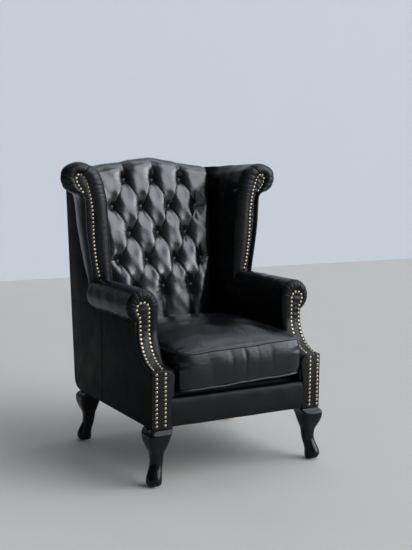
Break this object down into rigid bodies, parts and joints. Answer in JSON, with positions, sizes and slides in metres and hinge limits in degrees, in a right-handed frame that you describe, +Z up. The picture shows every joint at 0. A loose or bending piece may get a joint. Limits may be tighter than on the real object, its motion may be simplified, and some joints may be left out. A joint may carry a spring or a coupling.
{
  "type": "wing armchair",
  "caption": "Wing armchair in black leather with a button-tufted back, scrolled arms and wings, brass nail trim, a loose seat cushion and cabriole legs.",
  "frame": {"origin": "on the floor under the middle of the chair's overall box", "axes": "+X to the sitter's left, +Y from the front to the back of the chair, +Z up"},
  "size_m": [0.904, 0.7794, 1.081],
  "materials": {
    "leather": "semi-gloss black upholstery leather",
    "cushion_leather": "semi-gloss black leather, soft and creased",
    "outer_leather": "matte black leather on the outside panels",
    "button_leather": "leather covered button",
    "nail_brass": "antique brass dome",
    "leg_lacquer": "gloss black lacquer on turned and carved wood",
    "frame_wood": "plain sawn beech",
    "steel": "zinc coated steel",
    "glide": "pale plastic glide",
    "webbing": "woven jute strap",
    "lining": "black lining cloth"
  },
  "bodies": {
    "chair": {"back_pad": "leather", "back_buttons": "button_leather", "outside_back": "outer_leather", "wing_pad_left": "leather", "wing_pad_right": "leather", "wing_facing_left": "leather", "wing_facing_right": "leather", "wing_outside_left": "outer_leather", "wing_outside_right": "outer_leather", "wing_nails_left": "nail_brass", "wing_nails_right": "nail_brass", "wing_board_left": "frame_wood", "wing_board_right": "frame_wood", "arm_pad_left": "leather", "arm_pad_right": "leather", "arm_facing_left": "leather", "arm_facing_right": "leather", "arm_column_left": "leather", "arm_column_right": "leather", "arm_outside_left": "outer_leather", "arm_outside_right": "outer_leather", "arm_nails_left": "nail_brass", "arm_nails_right": "nail_brass", "arm_post_left": "frame_wood", "arm_post_right": "frame_wood", "arm_rail_left": "frame_wood", "arm_rail_right": "frame_wood", "front_border": "leather", "seat_deck": "lining", "dust_cover": "lining", "leg_front_left": "leg_lacquer", "leg_front_right": "leg_lacquer", "leg_back_left": "leg_lacquer", "leg_back_right": "leg_lacquer", "foot_glides": "glide", "leg_plates": "steel", "leg_bolts": "steel", "front_seat_rail": "frame_wood", "back_seat_rail": "frame_wood", "side_seat_rail_left": "frame_wood", "side_seat_rail_right": "frame_wood", "corner_blocks": "frame_wood", "back_post_left": "frame_wood", "back_post_right": "frame_wood", "back_top_rail": "frame_wood", "back_lower_rail": "frame_wood", "back_webbing": "webbing", "seat_springs": "steel", "spring_clips": "steel"},
    "cushion": {"seat_cushion": "cushion_leather"}
  },
  "joints": [
    {"name": "cushion_lift", "type": "slide", "parent": "chair", "child": "cushion", "axis": [0, 0, 1], "range_m": [0, 0.35]}
  ]
}
